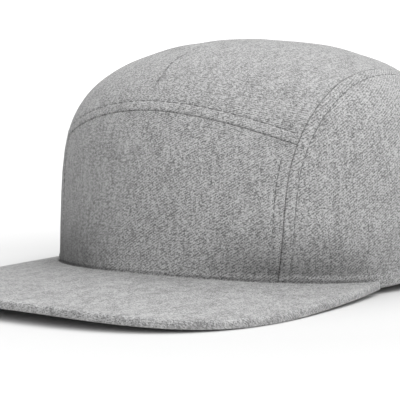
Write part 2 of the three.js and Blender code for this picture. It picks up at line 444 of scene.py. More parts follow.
def eased_flat(places, points, stride=7, rounds=900, ease=0.12):
    """Eases the flat cloth until the gaps between its points match those on the crown."""
    picked = [np.unique(np.append(np.arange(0, count, stride), count - 1)) for count in points.shape[:2]]
    solid, start = points[np.ix_(*picked)], places[np.ix_(*picked)]
    flat = start.copy()
    whole, but_last, but_first = slice(None), slice(None, -1), slice(1, None)
    links = [
        ((whole, but_last), (whole, but_first)),
        ((but_last, whole), (but_first, whole)),
        ((but_last, but_last), (but_first, but_first)),
        ((but_first, but_last), (but_last, but_first)),
    ]
    wanted = [np.linalg.norm(solid[b] - solid[a], axis=-1) for a, b in links]
    for _ in range(rounds):
        move = np.zeros_like(flat)
        for (a, b), length in zip(links, wanted):
            gap = flat[b] - flat[a]
            pull = ease * gap * (1 - length / np.linalg.norm(gap, axis=-1))[..., None]
            move[a] += pull
            move[b] -= pull
        flat = flat + move
    steps = np.linalg.norm(np.diff(flat, axis=1), axis=-1) / wanted[0]
    print("flat cloth: lengths kept within", round(100 * np.abs(steps - 1).max(), 1), "%")
    shift = flat - start
    for axis in (1, 0):
        filled = np.arange(points.shape[axis])
        shift = np.apply_along_axis(lambda line: np.interp(filled, picked[axis], line), axis, shift)
    return places + shift


def side_panel_rows():
    """Rows of points on the left side panel, and their places on its flat cloth."""
    seam = np.stack([side_turn, side_climb], -1)
    above = lengths_along(side_seam)
    first = corner_index()
    last = len(seam) - 1 - int(np.argmax(side_seam[::-1, 2] > side_seam[first, 2]))
    riser_count = fill_count(above[first])
    crest_count = fill_count(crest_fill * (above[last] - above[first]))

    def part_of(a, b, count):
        return along(side_seam, above[a] + spaced(above[b] - above[a], count), seam)

    front_riser = part_of(0, first, riser_count)
    back_riser = part_of(last, len(seam) - 1, riser_count)[::-1]
    crest = part_of(first, last, crest_count)
    turns = np.linspace(side_turn[0], side_turn[-1], 800)
    rim_length = lengths_along(rim_at(turns))[-1]
    rim_places = spaced(rim_length, crest_count)
    rim = along(rim_at(turns), rim_places, np.stack([turns, 0 * turns], -1))
    across = (rim_places / rim_length)[None, :, None]
    up = (spaced(above[first], riser_count) / above[first])[:, None, None]
    flat = (
        (1 - up) * rim[None] + up * crest[None]
        + (1 - across) * front_riser[:, None] + across * back_riser[:, None]
        - (1 - up) * ((1 - across) * rim[0] + across * rim[-1])
        - up * ((1 - across) * crest[0] + across * crest[-1])
    )
    points = crown_point(flat[..., 0], flat[..., 1])
    return points, eased_flat(side_cloth_places(flat[..., 0], flat[..., 1]), points)


left_rows, side_places = side_panel_rows()
right_rows = (left_rows * mirror)[:, ::-1]
print("side panel", left_rows.shape)

# %% [markdown]
# The back panel is an arch over the half moon opening. Its rows run from the opening's edge out to
# the seams, and its columns fan round the arch from one foot to the other.

# %% Back panel rows
opening_half_width = 43 * MM
opening_height = 40 * MM
# Up to this angle round the opening the columns run out to the side seams
shoulder = math.radians(52)
back_row_length = 30 * MM


def back_wall(x, z):
    """The point of the crown's back at a place seen from behind."""
    rise = np.clip(z / crown_height, 0, 1)
    turn = turn_reaching(np.abs(x), rise, np.full(x.shape, math.pi))
    point = crown_point(turn, np.arcsin(rise))
    point[..., 0] = x
    return point


def back_panel_rows():
    """Rows of points from the opening's edge to the seams, drawn as seen from behind."""
    riser_length = lengths_along(side_seam)[-1] - seam_distance(side_seam, "back")
    seam_length = lengths_along(back_seam)[-1]
    riser_count, seam_count = fill_count(riser_length), fill_count(seam_length)
    riser = along(side_seam[::-1], np.linspace(0, riser_length, 200))[:, [0, 2]]
    arch = back_seam[::-1, [0, 2]]
    rising = along(riser, spaced(lengths_along(riser)[-1], riser_count))
    over = along(arch, spaced(lengths_along(arch)[-1], seam_count))
    outer = np.concatenate([rising, over[1:], (rising * [-1, 1])[::-1][1:]])
    rising_angles = shoulder * (spaced(riser_length, riser_count) / riser_length)
    over_share = spaced(seam_length, seam_count) / seam_length
    angles = np.concatenate([
        rising_angles,
        shoulder + (math.pi - 2 * shoulder) * over_share[1:],
        math.pi - rising_angles[::-1][1:],
    ])
    inner = np.stack([opening_half_width * np.cos(angles), opening_height * np.sin(angles)], -1)
    row_share = spaced(back_row_length, 10) / back_row_length
    flat = inner + (outer - inner) * row_share[:, None, None]
    return back_wall(flat[..., 0], flat[..., 1])


back_rows = back_panel_rows()
opening_edge = back_rows[0]
print("back panel", back_rows.shape)

# %% [markdown]
# ## How sewn cloth shapes itself
#
# At a seam two pieces of cloth turn down into each other. Underneath, their spare edges lie flat and
# lift the strip beside the seam a little, and the row of stitches that holds them down pulls a small
# groove. The hem at the rim is cloth folded inwards and sewn down, so it is thicker than the rest.

# %% Cloth relief
stitch_line = 4.5 * MM
hem_stitch_line = 6.2 * MM
seam_roll = 0.8 * MM
hem_roll = 0.9 * MM
strip_ease = 1.2 * MM
gather_pitch = 1.15 * MM
gather_drift = 2
gather_drift_pitch = 5.1 * MM
gather_spread = 2.2 * MM
groove_half_width = 0.6 * MM
# The hem is lifted and grooved less where it lies on the visor than where it is free of it
hem_lift_on_visor = 0.06 * MM
hem_lift_gain = 0.34 * MM
hem_groove = 0.26 * MM
hem_free_turns = np.radians([38, 56])
place_step = 0.35 * MM
rim_line = rim_at(np.linspace(-math.pi, math.pi, 1500))


def turn_of(points):
    """How far round the crown each point is from the middle of the front, positive to the left."""
    return np.arctan2(points[..., 0] / rim_half_width, (crown_y - points[..., 1]) / rim_half_length)


def between(turn, turns):
    """How far a turn is on its way from the first to the second of two turns, from 0 to 1."""
    return smooth((turn - turns[0]) / (turns[1] - turns[0]))


def beside_visor(points):
    """From 0 over the middle of the visor to 1 at its ends and behind them."""
    return between(np.abs(turn_of(points)), hem_free_turns)


def nearest_on(points, line):
    """The distance from each point to a line, and how far along the line its nearest place is."""
    places = even(line, place_step)
    tree = KDTree(len(places))
    for k, place in enumerate(places):
        tree.insert(place, k)
    tree.balance()
    found = np.array([tree.find(point)[1:] for point in points.reshape(-1, 3)])
    index, distance = found.T.reshape(2, *points.shape[:-1])
    return distance, index * place_step


def above_rim(points):
    return nearest_on(points, rim_line)[0]


def rolled(distance, radius):
    """How far cloth falls as it turns down into an edge."""
    near = np.clip(1 - distance / radius, 0, 1)
    return -radius * (1 - np.sqrt(1 - near ** 2))


def uneven_wave(place, pitch, drift, drift_pitch):
    """A wave along a line that comes now closer and now wider, as gathers in sewn cloth do."""
    return np.sin(place / pitch + drift * np.sin(place / drift_pitch))


def sewn_down(distance, place, line, lift=0.36 * MM, groove=0.4 * MM, pucker=0.12 * MM):
    """The lifted strip beside an edge, its small puckers, and the groove that the stitches pull."""
    strip = lift * smooth((line - distance) / strip_ease + 0.5)
    wave = uneven_wave(place, gather_pitch, gather_drift, gather_drift_pitch)
    gathered = pucker * wave * np.exp(-((distance - line) / gather_spread) ** 2)
    return strip + gathered - groove * np.exp(-((distance - line) / groove_half_width) ** 2)


def relief(points, edges):
    """The cloth's height over the smooth crown; edges are (line, where stitches run or None, pull)."""
    height = np.zeros(points.shape[:-1])
    for line, stitches, pull in edges:
        distance, place = nearest_on(points, line)
        height += rolled(distance, seam_roll)
        if stitches:
            height += pull * sewn_down(distance, place, stitches)
    return height


def hem_relief(points):
    """The hem's strip lies flat over the visor, and is sewn down where it is free of it."""
    distance, place = nearest_on(points, rim_line)
    free = beside_visor(points)
    lift = hem_lift_on_visor + hem_lift_gain * free
    return rolled(distance, hem_roll) + sewn_down(distance, place, hem_stitch_line, lift, hem_groove * free)


# %% [markdown]
# Cloth is never quite as smooth as a formula. A few long, shallow waves run through all the panels,
# the crown draws in a little above its hem, and a pinched fold runs back along the middle of the top
# panel, where such a cap is folded to be packed.

# %% Waves, tuck and the centre fold
tuck_depth = 0.3 * MM
tuck_beside_visor = 1.1 * MM
tuck_height = 22 * MM
tuck_turns = np.radians([0, 18])
tuck_end_turns = np.radians([95, 125])

wave_draw = np.random.default_rng(5)
wave_lengths = np.array([19, 23, 28, 34, 41, 52]) * MM
wave_ways = unit(wave_draw.normal(size=(len(wave_lengths), 3)))
wave_starts = wave_draw.uniform(0, 2 * math.pi, len(wave_lengths))
wave_height = 0.07 * MM

fold_places = np.array([[0, -47.3, 81], [-1.2, -40.2, 88.2], [-1.9, -30.8, 94.4], [-2.2, -8.2, 102.9]]) * MM
fold_depth = 0.6 * MM
fold_half_width = 0.5 * MM
# Painted shade along the fold's groove
fold_painted_shade = 0.8
fold_pinch = 0.35
fold_pinch_pitch = 0.8 * MM
fold_pinch_drift = 3
fold_pinch_drift_pitch = 4.3 * MM
# A low shoulder of cloth rises on both sides of the fold, this many half widths away
fold_shoulder_away = 2.6
fold_shoulder = 0.4


def within(turn, rising, falling):
    """1 between two spans of turns, with an easy rise over the first and fall over the second."""
    return between(turn, rising) * (1 - between(turn, falling))


def tuck(points):
    """How far the crown draws in above its hem, most on the side where the visor's end pulls it."""
    beside = within(turn_of(points), tuck_turns, tuck_end_turns)
    depth = tuck_depth + (tuck_beside_visor - tuck_depth) * beside
    return depth * (1 - smooth(above_rim(points) / tuck_height))


def waves(points):
    """Shallow waves, the same for all panels so that their seams still meet."""
    total = np.zeros(points.shape[:-1])
    for length, way, begin in zip(wave_lengths, wave_ways, wave_starts):
        total += np.sin(2 * math.pi / length * (points @ way) + begin)
    return wave_height * total


def centre_fold(points):
    """The fold's height and the shade painted along it; it is pinched more in some places than in others.
    """
    share = np.linspace(0, 1, 60)
    known = np.linspace(0, 1, len(fold_places))
    line = settle(np.stack([np.interp(share, known, column) for column in fold_places.T], -1))
    distance, place = nearest_on(points, line)
    fade = np.sin(math.pi * np.clip(place / lengths_along(line)[-1], 0, 1)) ** 0.5
    wave = uneven_wave(place, fold_pinch_pitch, fold_pinch_drift, fold_pinch_drift_pitch)
    groove = fade * (1 - fold_pinch + fold_pinch * wave) * np.exp(-(distance / fold_half_width) ** 2)
    from_shoulder = distance - fold_shoulder_away * fold_half_width
    shoulder = fade * np.exp(-(from_shoulder / (2 * fold_half_width)) ** 2)
    return fold_depth * (fold_shoulder * shoulder - groove), fold_painted_shade * groove


# %% [markdown]
# Painted shade darkens the cloth's colour above the hem and the visor, along the fold, and in the
# crease at the visor's root. The shade is worked out for each vertex and kept as an attribute of the
# mesh, so that the material can read it later.

# %% Painted shade on the cloth
# The painted shade on the wearer's right side starts further forward than on the left
right_painted_shade_turns = np.radians([0, 28])
left_painted_shade_turns = np.radians([12, 36])
painted_shade_end_turns = np.radians([42, 92])
# Painted shade above the hem and the visor: how dark it gets and how high it reaches
painted_shade_strength = 0.6
painted_shade_height = 30 * MM
# The strip below the stitch line gets less of the painted shade, on the left from nearly the middle of the
# front
light_strip_turns = np.radians([8, 24])
light_strip = 0.5
# A weaker painted shade reaches higher up the side panels
side_painted_shade_turns = np.radians([34, 58])
side_painted_shade_end_turns = np.radians([112, 140])
side_painted_shade = 0.07
side_painted_shade_height = 48 * MM
root_crease_height = visor_thickness + 0.35 * MM
root_crease_end_turns = visor_end_turn - np.array([0.05, 0.01])
stitch_line_ease = 1 * MM
root_crease_half = 0.45 * MM
root_crease_depth = 0.45 * MM
# Painted shade in the crease at the visor's root
root_crease_painted_shade = 0.12


def root_crease(points):
    """The crease where the crown is sewn to the visor, 1 at its deepest."""
    on_visor = 1 - between(np.abs(turn_of(points)), root_crease_end_turns)
    return on_visor * np.exp(-((above_rim(points) - root_crease_height) / root_crease_half) ** 2)


def painted_shade_near_rim(points):
    """How much painted shade darkens the cloth above the hem and the visor and in the root crease, from 0
    to 1 of its full tone.
    """
    side, distance = np.abs(turn_of(points)), above_rim(points)
    rising = np.where(points[..., :1] < 0, right_painted_shade_turns, left_painted_shade_turns)
    beside = within(side, np.moveaxis(rising, -1, 0), painted_shade_end_turns)
    on_side = within(side, side_painted_shade_turns, side_painted_shade_end_turns)
    # Painted shade, darkest at the rim and fading upwards
    shade = painted_shade_strength * beside * (1 - smooth(distance / painted_shade_height))
    shade = shade + side_painted_shade * on_side * (1 - smooth(distance / side_painted_shade_height))
    below_stitches = 1 - smooth((distance - hem_stitch_line) / stitch_line_ease + 0.5)
    strip = np.where(points[..., 0] > 0, between(side, light_strip_turns), beside_visor(points))
    lighter = light_strip * below_stitches * strip
    return shade * (1 - lighter) + root_crease_painted_shade * root_crease(points)


# %% [markdown]
# ## From rows of points to cloth
#
# Each panel starts as a flat grid. Its points are set row by row on the crown, and then the whole
# grid is extruded once to give the cloth its thickness: the extruded copy becomes the inner face.

# %% Grids and walls of cloth
soft_edge_angle = math.radians(50)


def select_only(piece):
    bpy.ops.object.select_all(action="DESELECT")
    piece.select_set(True)
    bpy.context.view_layer.objects.active = piece


@contextmanager
def edit_mode(piece):
    """Edit mode with the whole piece selected, and object mode again afterwards."""
    select_only(piece)
    bpy.ops.object.mode_set(mode="EDIT")
    bpy.ops.mesh.select_all(action="SELECT")
    yield
    bpy.ops.object.mode_set(mode="OBJECT")


def vertex_places(piece):
    places = np.empty((len(piece.data.vertices), 3))
    piece.data.vertices.foreach_get("co", places.reshape(-1))
    return places


def grid_of(name, points):
    """A grid primitive whose points are set from rows of points."""
    rows, columns = points.shape[:2]
    bpy.ops.object.select_all(action="DESELECT")
    bpy.ops.mesh.primitive_grid_add(x_subdivisions=columns - 1, y_subdivisions=rows - 1, size=1)
    piece = bpy.context.object
    piece.name = name
    piece.data.name = name
    piece.data.vertices.foreach_set("co", points.reshape(-1))
    piece.data.update()
    return piece


def paint_cloth(piece, places):
    """Writes each vertex's place on the flat cloth, in metres, into the piece's UV map."""
    mesh = piece.data
    loops = np.empty(len(mesh.loops), int)
    mesh.loops.foreach_get("vertex_index", loops)
    mesh.uv_layers[0].name = "cloth"
    mesh.uv_layers[0].data.foreach_set("uv", places[loops].reshape(-1))


def thicken(piece, inner, places, shade=None):
    """Extrudes the whole grid and moves the copy to the inner face."""
    count = len(piece.data.vertices)
    with edit_mode(piece):
        bpy.ops.mesh.extrude_region()
    both = vertex_places(piece)
    # The copy's vertices match the first ones by place, whatever their order
    partner = np.empty(count, int)
    partner[np.lexsort(both[count:].T)] = np.lexsort(both[:count].T)
    both[count:] = inner.reshape(-1, 3)[partner]
    piece.data.vertices.foreach_set("co", both.reshape(-1))
    places = places.reshape(-1, 2)
    paint_cloth(piece, np.concatenate([places, places[partner]]))
    # The painted shade is written on the vertices of both faces as an attribute
    if shade is not None:
        shade = shade.reshape(-1)
        painted_shade = piece.data.attributes.new("painted_shade", "FLOAT", "POINT")
        painted_shade.data.foreach_set("value", np.concatenate([shade, shade[partner]]))
    with edit_mode(piece):
        bpy.ops.mesh.normals_make_consistent(inside=False)
    bpy.ops.object.shade_smooth_by_angle(angle=soft_edge_angle)


def stand_for(piece, node):
    """Lets a piece take the place of a node of the measured model."""
    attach(piece, "root")
    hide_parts(node)
    print(piece.name, len(piece.data.polygons), "faces")
    return piece


# %% [markdown]
# All five panels are made in the same way, so one function makes them. It lifts the cloth by its
# relief, draws it in by its tuck, gives it a wall that is thicker at the folded hem, and notes where
# each vertex lies on the flat cloth, because the weave follows the cloth's grain.

# %% Panel maker
cloth_thickness = 1.3 * MM
hem_thickness = 2.3 * MM
hem_fold_ease = 1.5 * MM


def cloth_places(points):
    """Each point's place on the flat cloth, measured along its row and its column."""
    across, up = (
        np.linalg.norm(np.diff(points, axis=way, prepend=points.take([0], way)), axis=-1).cumsum(way)
        for way in (1, 0)
    )
    return np.stack([across - across[:, [across.shape[1] // 2]], up], -1)


def turned_places(places, grain, coarseness):
    """Places on the flat cloth turned by the grain's slant, with a coarser weave."""
    across, up = np.moveaxis(places, -1, 0)
    turned = np.stack([
        across * math.cos(grain) + up * math.sin(grain),
        up * math.cos(grain) - across * math.sin(grain),
    ], -1)
    return turned / coarseness


def part_from_neighbours(outer):
    """Draws the outermost points back a little, so that a dark line is left between two panels."""
    for rows in (outer, outer.swapaxes(0, 1)):
        rows[0] = (rows[0] + rows[1]) / 2
        rows[-1] = (rows[-1] + rows[-2]) / 2


def panel(name, node, points, edges, has_hem=True, places=None, fold=(0.0, 0.0)):
    """One panel of the crown: cloth over the smooth crown, thicker along the rim."""
    height = relief(points, edges) + fold[0]
    if has_hem:
        height = height + hem_relief(points)
    outward = facing(points)
    points = points + outward * (waves(points) - tuck(points))[..., None]
    depth = np.full(points.shape[:-1], cloth_thickness)
    if has_hem:
        height = height - root_crease_depth * root_crease(points)
        folded = 1 - smooth((above_rim(points) - hem_stitch_line) / hem_fold_ease)
        depth = depth + (hem_thickness - cloth_thickness) * folded
    outer = points + outward * height[..., None]
    part_from_neighbours(outer)
    inner = points - outward * depth[..., None]
    for face in (outer, inner):
        face[..., 2] = np.maximum(face[..., 2], 0)
    if places is None:
        places = cloth_places(points)
    piece = grid_of(name, outer)
    # The painted shade near the rim and along the fold goes to the mesh with its vertices
    thicken(piece, inner, places, painted_shade_near_rim(points) + fold[1])
    return stand_for(piece, node)


# %% [markdown]
# One panel differs from the next in its edges: which seams it meets, whether a row of its own
# stitches runs beside them, and how strongly that row pulls. The side panels lie a few degrees off
# the grain, and the right one mirrors the left.

# %% Crown panels
side_seams = [side_seam, side_seam * mirror]
side_edges = [(line, stitch_line, 0.7) for line in side_seams]
side_grain = math.radians(-4)
side_coarseness = 1.08

front_piece = panel(
    "front_panel_cloth", "front_panel", front_rows, [*side_edges, (front_seam, None, 1)],
)
top_fold = centre_fold(top_rows)
print("fold", round(top_fold[0].min() / MM, 2), "to", round(top_fold[0].max() / MM, 2), "mm")
top_piece = panel(
    "top_panel_cloth", "top_panel", top_rows,
    [
        *((line, None, 1) for line in side_seams),
        (front_seam, stitch_line, 1), (back_seam, stitch_line, 1),
    ],
    has_hem=False, fold=top_fold,
)
back_piece = panel(
    "back_panel_cloth", "back_panel", back_rows,
    [*side_edges, (back_seam, None, 1), (opening_edge, stitch_line, 1)],
    places=eased_flat(back_rows[..., [0, 2]] * [-1, 1], back_rows),
)
left_places = turned_places(side_places, side_grain, side_coarseness)
left_piece = panel(
    "side_panel_left_cloth", "side_panel_left", left_rows, [(side_seams[0], stitch_line, 0.5)],
    places=left_places,
)
right_piece = panel(
    "side_panel_right_cloth", "side_panel_right", right_rows, [(side_seams[1], stitch_line, 0.5)],
    places=(left_places * [-1, 1])[:, ::-1],
)

# %% [markdown]
# ## Visor
#
# The visor is a stiff board covered in the same cloth. It bows a little, so its sides stand on the
# floor while its front hovers. A ring of points goes over the top, round the edge and back under,
# and one such ring after another follows the visor's outline.

# %% Visor
edge_radius = 1.25 * MM
lower_edge_radius = 0.7 * MM
under_inset = 0.12 * MM
visor_step = 1.6 * MM
visor_fill = 34
visor_under_fill = 14
# Below 1, so that the points over the top lie closer together towards the edge
visor_fill_power = 0.85
merge_distance = 0.01 * MM


def root_of(outer):
    """Where a line from the visor's edge to the middle of its rear meets the crown."""
    rear = half_edge[-1, 1]
    wide, long = rim_half_width + seat_gap, rim_half_length + seat_gap
    x, y = outer[:, 0], outer[:, 1] - rear
    a = (x / wide) ** 2 + (y / long) ** 2
    b = 2 * rear * y / long ** 2
    c = (rear / long) ** 2 - 1
    share = (-b + np.sqrt(b * b - 4 * a * c)) / (2 * a)
    return np.stack([x * share, rear + y * share], -1)


def visor_rings():
    """Rings of points over the top, round the edge and back under, and their flat places."""
    half = even(half_edge, visor_step)
    edge = np.concatenate([(half * [-1, 1])[::-1], half[1:]])
    root = root_of(edge)
    width = np.linalg.norm(edge - root, axis=-1)[:, None]
    radius = np.minimum(edge_radius, 0.45 * width)
    arc = np.linspace(0, quarter_turn, 6)[1:]
    under_arc = np.linspace(0, quarter_turn, 5)
    under_across = width - np.minimum(lower_edge_radius, 0.3 * width) * (1 - np.cos(under_arc))
    # Each stretch of a ring says how far out from the root and how far below the top its points lie
    stretches = [
        (np.linspace(0, 1, visor_fill) ** visor_fill_power * (width - radius), 0),
        (width - radius + radius * np.sin(arc), edge_radius * (1 - np.cos(arc))),
        (width - np.array([0, 0, 1]) * under_inset, np.array([0.5, 0.62, 0.7]) * visor_thickness),
        (under_across, visor_thickness - lower_edge_radius * (1 - np.sin(under_arc))),
        (under_across[:, -1:] * (1 - np.linspace(0, 1, visor_under_fill)[1:]), visor_thickness),
    ]
    across = np.concatenate([far for far, _ in stretches], 1)
    down = np.concatenate([below + 0 * far for far, below in stretches], 1)
    inward = ((root - edge) / width)[:, None]
    place = edge[:, None] + inward * (width - across)[..., None]
    height = visor_top(place[..., 0], place[..., 1]) - down
    # The cover is one cloth that goes round the edge, so its weave is measured along the ring
    steps = np.hypot(*(np.diff(part, axis=1, prepend=part[:, :1]) for part in (across, down)))
    flat = place - inward * (steps.cumsum(1) - across)[..., None]
    return np.stack([place[..., 0], place[..., 1] + crown_y, height], -1), flat


def close_rings(piece):
    """Joins both ends of each ring, and closes the first and the last ring with a face."""
    with edit_mode(piece):
        bpy.ops.mesh.remove_doubles(threshold=merge_distance)
        bpy.ops.mesh.select_all(action="DESELECT")
        bpy.ops.mesh.select_non_manifold()
        bpy.ops.mesh.fill_holes(sides=0)
        bpy.ops.mesh.select_all(action="SELECT")
        bpy.ops.mesh.normals_make_consistent(inside=False)


rings, ring_cloth = visor_rings()
visor_piece = grid_of("visor_cloth_cover", np.concatenate([rings, rings[:, :1]], 1))
paint_cloth(visor_piece, np.concatenate([ring_cloth, ring_cloth[:, -1:]], 1).reshape(-1, 2))
close_rings(visor_piece)
bpy.ops.object.shade_smooth_by_angle(angle=soft_edge_angle)
stand_for(visor_piece, "visor")

# %% [markdown]
# ## Strap and buckle
#
# Behind the half moon a webbing strap closes the cap. It lies inside the hem, comes out past the
# buckle's side bars and humps over its middle bar. It is a long grid, thickened as the panels are.

# %% Strap
strap_width = 18 * MM
strap_thickness = 1.5 * MM
strap_overlap = 10.5 * MM
strap_ease = 1.2 * MM
strap_edge_roll = 0.45 * MM
buckle_width = 30 * MM
buckle_thickness = 1.8 * MM
buckle_bar = 4 * MM
buckle_rail = 3 * MM
slot_play = 0.8 * MM
floor_clearance = 0.4 * MM
cad_hem_thickness = 2.6 * MM

strap_inset = cad_hem_thickness + seat_gap
strap_foot = floor_clearance + buckle_rail + slot_play
strap_middle = strap_foot + strap_width / 2
side_bar_inside = buckle_width / 2 - buckle_bar
sink_at_side_bar = rim_half_length * (1 - math.sqrt(1 - (side_bar_inside / rim_half_width) ** 2))
strap_hump = buckle_thickness + strap_thickness + 2 * seat_gap - sink_at_side_bar


def climb_to(height, inset=0.0):
    """The climb that reaches a height at the back, where the rim is on the floor."""
    return np.arcsin(height / (crown_height - inset))


def strap_surface(rows=25, columns=161):
    """Turns, heights and insets from the crown of the points of the strap's outer face."""
    end = math.asin((opening_half_width + strap_overlap) / rim_half_width)
    turn = (math.pi + end * np.linspace(1, -1, columns))[None] + np.zeros((rows, 1))
    height = np.linspace(strap_foot, strap_foot + strap_width, rows)[:, None] + 0 * turn
    level = buckle_bar / 2 + strap_ease
    side = np.abs(rim_half_width * np.sin(turn))
    hump = 1 - smooth((side - level) / (side_bar_inside - strap_ease - level))
    return turn, height, strap_inset - strap_hump * hump


turn, height, inset = strap_surface()
strap_outer, strap_inner = (
    crown_point(turn, climb_to(height, depth), depth) for depth in (inset, inset + strap_thickness)
)
edge_distance = np.minimum(height - strap_foot, strap_foot + strap_width - height)
roll_in = unit(strap_inner - strap_outer) * -rolled(edge_distance, strap_edge_roll)[..., None]
strap_piece = grid_of("back_strap_webbing", strap_outer + roll_in)
thicken(strap_piece, strap_inner - roll_in, cloth_places(strap_outer))
stand_for(strap_piece, "back_strap")

# %% [markdown]
# The buckle is a flat metal slider: a plate with two slots. A small grid has just enough faces for
# its bars and rails, the two slots are deleted, the rest is extruded, and a bevel takes off the
# sharp edges that a casting never has.

# %% Buckle
slot_height = strap_width + 2 * slot_play
buckle_rounding = 0.5 * MM
buckle_edge_angle = math.radians(40)


def both_sides(half):
    return np.concatenate([half, -half[::-1]])


buckle_columns = both_sides(np.array([-buckle_width / 2, -side_bar_inside, -buckle_bar / 2]))
buckle_rows = both_sides(np.array([-slot_height / 2 - buckle_rail, -slot_height / 2]))
x, z = np.meshgrid(buckle_columns, buckle_rows)
buckle_piece = grid_of("strap_buckle_frame", np.stack([x, 0 * x + buckle_thickness / 2, z], -1))
with edit_mode(buckle_piece):
    bpy.ops.mesh.select_mode(type="FACE")
    bpy.ops.mesh.select_all(action="DESELECT")
for face in buckle_piece.data.polygons:
    across, up = abs(face.center.x), abs(face.center.z)
    face.select = up < slot_height / 2 and buckle_bar / 2 < across < side_bar_inside
bpy.ops.object.mode_set(mode="EDIT")
bpy.ops.mesh.delete(type="FACE")
bpy.ops.object.mode_set(mode="OBJECT")
with edit_mode(buckle_piece):
    bpy.ops.mesh.extrude_region_move(TRANSFORM_OT_translate={"value": (0, -buckle_thickness, 0)})
    bpy.ops.mesh.select_all(action="SELECT")
    bpy.ops.mesh.normals_make_consistent(inside=False)
    bpy.ops.mesh.select_mode(type="VERT")
rounding = buckle_piece.modifiers.new("rounding", "BEVEL")
rounding.width = buckle_rounding
rounding.segments = 3
bpy.ops.object.modifier_apply(modifier="rounding")
bpy.ops.object.shade_smooth_by_angle(angle=buckle_edge_angle)
buckle_depth = strap_inset - strap_hump + strap_thickness + seat_gap + buckle_thickness / 2
buckle_piece.location = crown_point(math.pi, climb_to(strap_middle, buckle_depth), buckle_depth)
buckle_piece.rotation_euler.x = -math.atan2(top_set_back, crown_height)
bpy.ops.object.transform_apply(location=True, rotation=True, scale=True)
stand_for(buckle_piece, "strap_buckle")

# %% [markdown]
# ## Stitches
#
# Each visible stitch is a short thread that dips into the cloth at both ends. One is modelled and
# then set along every sewn line, at the distance from the edge where the grooves already run.

# %% One stitch
stitch_pitch = 3.1 * MM
stitch_half = np.array([1.3, 0.28, 0.2]) * MM
# A stitch's direction is read from this far on both sides of its middle
way_reach = 0.4 * MM


def one_stitch():
    """The places and faces of one stitch: a small ball drawn out along its first direction."""
    bpy.ops.object.select_all(action="DESELECT")
    bpy.ops.mesh.primitive_uv_sphere_add(segments=6, ring_count=6, radius=1, rotation=(0, quarter_turn, 0))
    bpy.ops.object.transform_apply(location=False, rotation=True, scale=False)
    thread = bpy.context.object
    points = vertex_places(thread)
    faces = [list(face.vertices) for face in thread.data.polygons]
    bpy.ops.object.delete()
    return points * stitch_half, faces


stitch_points, stitch_faces = one_stitch()
print("one stitch", len(stitch_faces), "faces")


def beside(line, offset):
    """A line on the crown at a distance to the left of another line as it is followed."""
    line = even(line, 1 * MM)
    way = unit(np.gradient(line, axis=0))
    return settle(line + np.cross(facing(line), way) * offset)


def sew(name, lines, height):
    """One piece of stitches along some lines, at a height over the smooth crown."""
    points, faces = [], []
    for line in lines:
        reach = lengths_along(line)[-1]
        count = int(reach / stitch_pitch)
        middles = (np.arange(count) + 0.5) * reach / count
        way = unit(along(line, middles + way_reach) - along(line, middles - way_reach))
        middle = along(line, middles)
        outward = facing(middle)
        outward = unit(outward - way * np.sum(outward * way, -1, keepdims=True))
        middle = middle + outward * (height + waves(middle) - tuck(middle))[..., None]
        frames = np.stack([way, np.cross(outward, way), outward], 1)
        for place, frame_axes in zip(middle, frames):
            base = len(points) * len(stitch_points)
            points.append(place + stitch_points @ frame_axes)
            faces.extend([[corner + base for corner in face] for face in stitch_faces])
    mesh = bpy.data.meshes.new(name)
    mesh.from_pydata(np.concatenate(points).tolist(), [], faces)
    piece = add_object(name, mesh)
    select_only(piece)
    bpy.ops.object.shade_smooth()
    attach(piece, "root")
    print(name, len(points), "stitches")
    return piece


# %% [markdown]
# The rows stop short of the seams that cross them. On the top panel one row runs above the front
# seam and one before the back seam. Along the side seams there is a row on each side of the front
# and back panels' stretches, and one row on the side panel all the way round.

# %% Rows of stitches
thread_height = -0.12 * MM
side_thread_height = -0.13 * MM
hem_thread_height = -0.17 * MM
top_row_end = 1.5 * MM
row_end = 1 * MM


def trimmed(line, start, stop):
    """A line without a length at its start and another at its stop."""
    reach = lengths_along(line)[-1]
    return along(line, np.linspace(start, reach - stop, max(2, int(reach / MM))))


def hem_row(start_turn, stop_turn):
    return beside(rim_at(np.linspace(start_turn, stop_turn, 400)), hem_stitch_line)


seam_length = lengths_along(side_seam)[-1]
side_front = trimmed(side_seam, 0, seam_length - seam_distance(side_seam, "front"))
side_back = trimmed(side_seam, seam_distance(side_seam, "back"), 0)
front_row = trimmed(beside(side_front, stitch_line), hem_stitch_line, row_end)
side_row = trimmed(beside(side_seam, -stitch_line), hem_stitch_line, hem_stitch_line)
back_row = trimmed(beside(side_back, stitch_line), row_end, hem_stitch_line)
opening_row = trimmed(beside(opening_edge, stitch_line), row_end, row_end)
top_rows_sewn = [
    trimmed(beside(seam, offset), top_row_end, top_row_end)
    for seam, offset in ((front_seam, stitch_line), (back_seam, -stitch_line))
]
opening_turn = math.asin((opening_half_width + stitch_line) / rim_half_width)
hem_start, hem_stop = hem_free_turns[0], math.pi - opening_turn
hem_rows = [hem_row(hem_start, hem_stop), hem_row(-hem_stop, -hem_start)]

stitch_pieces = [
    sew("top_panel_stitches", top_rows_sewn, thread_height),
    sew("front_panel_stitches", [front_row, front_row * mirror], side_thread_height),
    sew("side_panel_left_stitches", [side_row], side_thread_height),
    sew("side_panel_right_stitches", [side_row * mirror], side_thread_height),
    sew("back_panel_stitches", [back_row, back_row * mirror, opening_row], thread_height),
    sew("hem_stitches", hem_rows, hem_thread_height),
]

# %% [markdown]
# ## Heathered twill
#
# Heathered cloth is woven from yarns that already mix light and dark wool, so every thread changes
# its tone along its length. In a twill each crosswise thread passes over two lengthwise threads and
# under the next two, and each row starts one thread further on. That shift makes the fine slanting
# lines. The material does the same: it counts threads both ways, asks which one lies on top, and
# gives each thread its own streaks.

